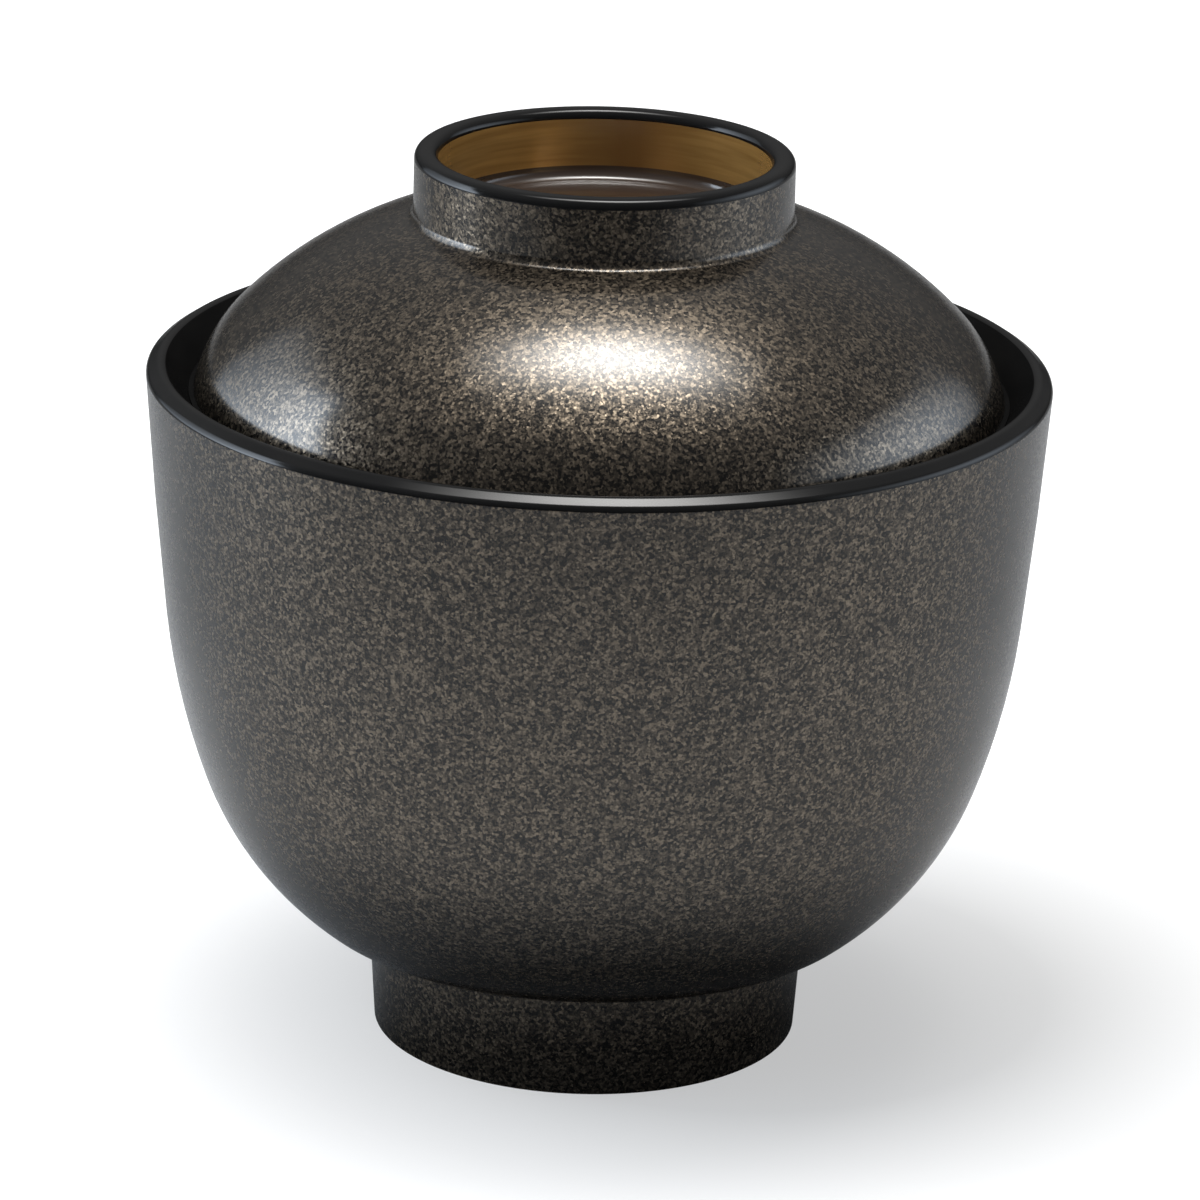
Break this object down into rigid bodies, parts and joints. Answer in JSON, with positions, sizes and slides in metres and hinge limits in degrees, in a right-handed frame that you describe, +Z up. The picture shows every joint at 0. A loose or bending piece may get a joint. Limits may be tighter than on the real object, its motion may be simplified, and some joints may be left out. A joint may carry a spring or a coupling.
{
  "type": "lidded soup bowl",
  "caption": "Round lacquered soup bowl on a foot ring, with a domed lid that rests inside the mouth and lifts off by its ring knob.",
  "frame": {"origin": "centre of the foot ring at table level", "axes": "+Z up along the turning axis; the object is round, so +X and +Y are free"},
  "size_m": [0.094, 0.094, 0.0954],
  "materials": {
    "turned_wood": "turned wood, sealed under the lacquer",
    "speckled_lacquer": "dark bronze-grey lacquer with fine pale speckle under a clear gloss coat",
    "black_lacquer": "polished black lacquer",
    "amber_lacquer": "transparent brown-gold lacquer, glossy"
  },
  "bodies": {
    "bowl": {"bowl_core": "turned_wood", "bowl_outer_lacquer": "speckled_lacquer", "bowl_inner_lacquer": "black_lacquer", "foot_recess_lacquer": "black_lacquer"},
    "lid": {"lid_core": "turned_wood", "lid_outer_lacquer": "speckled_lacquer", "lid_inner_lacquer": "black_lacquer", "knob_lip_lacquer": "black_lacquer", "knob_well_lacquer": "amber_lacquer"}
  },
  "joints": [
    {"name": "lid_lift", "type": "slide", "parent": "bowl", "child": "lid", "axis": [0, 0, 1], "range_m": [0, 0.08]}
  ]
}
